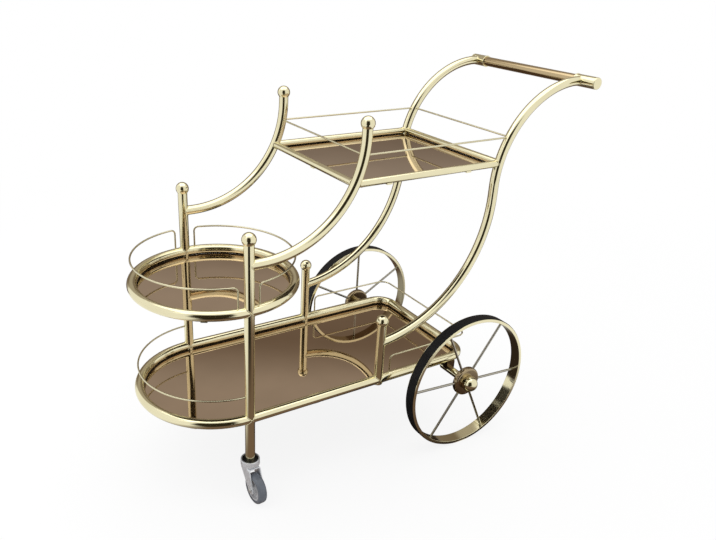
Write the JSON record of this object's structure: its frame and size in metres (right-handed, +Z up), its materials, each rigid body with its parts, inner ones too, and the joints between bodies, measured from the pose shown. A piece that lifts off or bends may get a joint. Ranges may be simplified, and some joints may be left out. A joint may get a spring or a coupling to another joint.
{
  "type": "bar cart",
  "caption": "Bar cart of bent gold tube with a round tray, a lower tray and an upper tray of bronze mirror glass, large spoked rear wheels, front casters and a push handle.",
  "frame": {"origin": "on the floor, in the middle of the cart's length and width", "axes": "+X towards the push handle, +Y to the right of someone at the front facing the handle, +Z up"},
  "size_m": [1.0739, 0.564, 0.8936],
  "materials": {
    "gold": "polished pale gold plate",
    "gold_wire": "polished pale gold wire",
    "satin_bronze": "satin bronze",
    "dark_bronze": "dark polished bronze",
    "bronze_mirror": "bronze tinted mirror glass",
    "clear_pad": "clear soft pad",
    "steel": "bright steel",
    "zinc": "bright zinc plate",
    "caster_core": "grey moulded plastic",
    "black_plastic": "black moulded plastic",
    "grey_rubber": "grey rubber",
    "tyre_rubber": "black matt rubber"
  },
  "bodies": {
    "cart_frame": {"left_front_post": "gold", "left_rear_post": "gold", "left_front_arm": "gold", "left_rear_arm": "gold", "left_handle_sleeve": "gold", "lower_left_rail": "gold", "upper_left_rail": "gold", "upper_left_wire": "gold_wire", "right_front_post": "gold", "right_rear_post": "gold", "right_front_arm": "gold", "right_rear_arm": "gold", "right_handle_sleeve": "gold", "lower_right_rail": "gold", "upper_right_rail": "gold", "upper_right_wire": "gold_wire", "ball_finials": "gold", "handle_grip": "satin_bronze", "handle_end_caps": "gold", "lower_front_rim": "gold", "lower_rear_rim": "gold", "round_front_rim": "gold", "round_rear_rim": "gold", "upper_front_rail": "gold", "upper_rear_rail": "gold", "upper_front_wire": "gold_wire", "upper_rear_wire": "gold_wire", "lower_front_wire": "gold_wire", "lower_rear_wire": "gold_wire", "round_front_wire": "gold_wire", "round_rear_wire": "gold_wire", "round_glass": "bronze_mirror", "round_glass_tabs": "gold", "lower_glass": "bronze_mirror", "lower_glass_tabs": "gold", "upper_glass": "bronze_mirror", "upper_glass_tabs": "gold", "glass_pads": "clear_pad", "axle": "steel", "axle_brackets": "dark_bronze", "axle_sleeves": "gold", "axle_ball_nuts": "gold", "caster_cups": "zinc", "stem_bushes": "black_plastic"},
    "left_wheel": {"left_tyre": "tyre_rubber", "left_wheel_rim": "gold", "left_spokes": "gold_wire", "left_hub": "dark_bronze"},
    "left_swivel": {"left_caster_fork": "zinc", "left_caster_bolt": "steel"},
    "left_roller": {"left_caster_wheel": "caster_core", "left_caster_tread": "grey_rubber"},
    "right_wheel": {"right_tyre": "tyre_rubber", "right_wheel_rim": "gold", "right_spokes": "gold_wire", "right_hub": "dark_bronze"},
    "right_swivel": {"right_caster_fork": "zinc", "right_caster_bolt": "steel"},
    "right_roller": {"right_caster_wheel": "caster_core", "right_caster_tread": "grey_rubber"}
  },
  "joints": [
    {"name": "left_wheel_spin", "type": "hinge", "parent": "cart_frame", "child": "left_wheel", "pos_m": [0.21, -0.247, 0.175], "axis": [0, 1, 0], "continuous": true},
    {"name": "left_caster_swivel", "type": "hinge", "parent": "cart_frame", "child": "left_swivel", "pos_m": [-0.348, -0.178, 0.084], "axis": [0, 0, 1], "continuous": true},
    {"name": "left_caster_spin", "type": "hinge", "parent": "left_swivel", "child": "left_roller", "pos_m": [-0.34659, -0.20496, 0.035], "axis": [0.9986, 0.0523, 0], "continuous": true},
    {"name": "right_wheel_spin", "type": "hinge", "parent": "cart_frame", "child": "right_wheel", "pos_m": [0.21, 0.247, 0.175], "axis": [0, 1, 0], "continuous": true},
    {"name": "right_caster_swivel", "type": "hinge", "parent": "cart_frame", "child": "right_swivel", "pos_m": [-0.348, 0.178, 0.084], "axis": [0, 0, 1], "continuous": true},
    {"name": "right_caster_spin", "type": "hinge", "parent": "right_swivel", "child": "right_roller", "pos_m": [-0.34659, 0.20496, 0.035], "axis": [0.9986, -0.0523, 0], "continuous": true}
  ]
}
